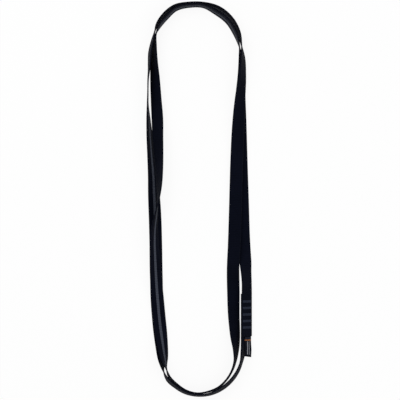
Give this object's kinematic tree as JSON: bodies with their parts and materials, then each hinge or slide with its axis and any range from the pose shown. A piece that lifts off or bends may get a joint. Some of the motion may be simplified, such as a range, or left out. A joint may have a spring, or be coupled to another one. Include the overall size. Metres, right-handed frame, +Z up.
{
  "type": "sewn webbing sling",
  "caption": "Long loop of flat webbing, closed by a bar-tacked overlap with a small folded label, lying doubled into two turns.",
  "frame": {"origin": "centre of the lying loop's box, on the surface it lies on", "axes": "+X across the loop to the side of the sewn overlap, +Y along the loop away from the overlap, +Z up"},
  "size_m": [0.1502, 0.5602, 0.0235],
  "materials": {
    "webbing": "woven polyamide, grey stripe on one face",
    "thread": "bar-tacked polyamide thread",
    "label": "woven label",
    "label_thread": "orange sewing thread"
  },
  "bodies": {
    "near_half": {"webbing_overlap_upper_layer": "webbing", "webbing_near_inner_turn": "webbing", "webbing_near_outer_turn": "webbing", "bar_tack_1": "thread", "bar_tack_2": "thread", "bar_tack_3": "thread", "bar_tack_4": "thread", "bar_tack_5": "thread", "label_root": "label", "label_stitches": "label_thread"},
    "far_half": {"webbing_far_inner_turn": "webbing", "webbing_far_outer_turn": "webbing"},
    "label": {"label_flap": "label"}
  },
  "joints": [
    {"name": "fold_across", "type": "hinge", "parent": "near_half", "child": "far_half", "pos_m": [0.00048, -0.0646, 0.01907], "axis": [1, 0, 0], "range_deg": [0, 160]},
    {"name": "label_lift", "type": "hinge", "parent": "near_half", "child": "label", "pos_m": [0.06929, -0.1985, 0.00712], "axis": [-0.8192, 0, 0.5736], "range_deg": [0, 110]}
  ]
}
